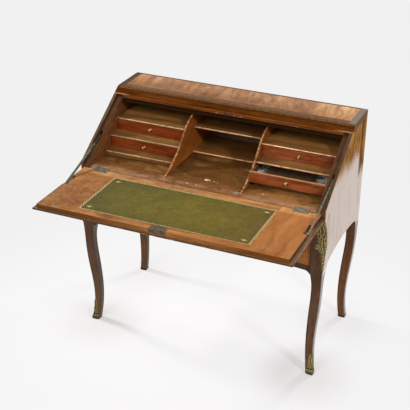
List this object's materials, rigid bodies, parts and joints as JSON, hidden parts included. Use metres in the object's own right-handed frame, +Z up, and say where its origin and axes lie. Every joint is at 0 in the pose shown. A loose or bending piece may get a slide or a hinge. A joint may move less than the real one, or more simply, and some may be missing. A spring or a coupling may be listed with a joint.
{
  "type": "slant-front writing desk",
  "caption": "Slant-front writing desk on cabriole legs: hinged fall with leather panel and stay bars, fitted interior with small drawers, bronze leg mounts.",
  "frame": {"origin": "on the floor, in the middle of the space that the desk takes with its fall open", "axes": "+X to the sitter's right, +Y to the back, +Z up"},
  "size_m": [1.0304, 0.8504, 0.942],
  "materials": {
    "veneer": "worn french polish over figured veneer",
    "leg_wood": "dark polished wood",
    "inner_wood": "worn, stained, lightly polished",
    "drawer_wood": "polished red-brown wood",
    "plain_wood": "plain unpolished wood",
    "leather": "worn writing leather with gilt tooled border",
    "bronze": "tarnished gilt bronze",
    "brass": "worn brass",
    "steel": "dull aged steel"
  },
  "bodies": {
    "case": {"back_panel": "plain_wood", "base_left": "inner_wood", "base_right": "inner_wood", "bottom_board": "plain_wood", "centre_base": "inner_wood", "centre_shelf": "inner_wood", "chute_left": "bronze", "chute_right": "bronze", "desk_floor": "inner_wood", "divider_left": "inner_wood", "divider_right": "inner_wood", "front_apron": "veneer", "hinge_case_leaf_left": "steel", "hinge_case_leaf_right": "steel", "hinge_case_screws": "steel", "hinge_pin_left": "steel", "hinge_pin_right": "steel", "leg_front_left": "leg_wood", "leg_front_right": "leg_wood", "leg_rear_left": "leg_wood", "leg_rear_right": "leg_wood", "lining_left": "inner_wood", "lining_right": "inner_wood", "sabot_left": "bronze", "sabot_right": "bronze", "shelf_lower_left": "inner_wood", "shelf_lower_right": "inner_wood", "shelf_upper_left": "inner_wood", "shelf_upper_right": "inner_wood", "side_left": "veneer", "side_right": "veneer", "stay_keeper_pins": "steel", "strike_plate": "steel", "top_board": "veneer", "top_rail": "inner_wood"},
    "fall": {"fall_board": "veneer", "leather_panel": "leather", "lock_case": "steel", "lock_plate": "steel", "escutcheon": "brass", "hinge_fall_leaf_left": "steel", "hinge_fall_leaf_right": "steel", "fall_screws": "steel", "stay_bracket_left": "steel", "stay_bracket_right": "steel"},
    "lock_bolt": {"lock_bolt": "steel"},
    "stay_left": {"stay_left": "steel"},
    "stay_right": {"stay_right": "steel"},
    "drawer_left_upper": {"drawer_left_upper_box": "plain_wood", "drawer_left_upper_front": "drawer_wood", "drawer_left_upper_knob": "brass"},
    "drawer_left_lower": {"drawer_left_lower_box": "plain_wood", "drawer_left_lower_front": "drawer_wood", "drawer_left_lower_knob": "brass"},
    "drawer_right_upper": {"drawer_right_upper_box": "plain_wood", "drawer_right_upper_front": "drawer_wood", "drawer_right_upper_knob": "brass"},
    "drawer_right_lower": {"drawer_right_lower_box": "plain_wood", "drawer_right_lower_front": "drawer_wood", "drawer_right_lower_knob": "brass"}
  },
  "joints": [
    {"name": "fall_hinge", "type": "hinge", "parent": "case", "child": "fall", "pos_m": [0, -0.06882, 0.71483], "axis": [1, 0, 0], "range_deg": [-147.14, 0]},
    {"name": "stay_left_pivot", "type": "hinge", "parent": "fall", "child": "stay_left", "pos_m": [-0.4835, -0.21282, 0.70533], "axis": [1, 0, 0], "range_deg": [0, 73.6]},
    {"name": "stay_right_pivot", "type": "hinge", "parent": "fall", "child": "stay_right", "pos_m": [0.4835, -0.21282, 0.70533], "axis": [1, 0, 0], "range_deg": [0, 73.6]},
    {"name": "lock_bolt_slide", "type": "slide", "parent": "fall", "child": "lock_bolt", "axis": [0, -1, 0], "range_m": [0, 0.008]},
    {"name": "drawer_left_upper_slide", "type": "slide", "parent": "case", "child": "drawer_left_upper", "axis": [0, -1, 0], "range_m": [0, 0.15]},
    {"name": "drawer_left_lower_slide", "type": "slide", "parent": "case", "child": "drawer_left_lower", "axis": [0, -1, 0], "range_m": [0, 0.18]},
    {"name": "drawer_right_upper_slide", "type": "slide", "parent": "case", "child": "drawer_right_upper", "axis": [0, -1, 0], "range_m": [0, 0.15]},
    {"name": "drawer_right_lower_slide", "type": "slide", "parent": "case", "child": "drawer_right_lower", "axis": [0, -1, 0], "range_m": [-0.077, 0.103]}
  ],
  "couplings": [
    {"joint": "stay_left_pivot", "follows": "fall_hinge", "ratio": -0.5},
    {"joint": "stay_right_pivot", "follows": "fall_hinge", "ratio": -0.5}
  ]
}
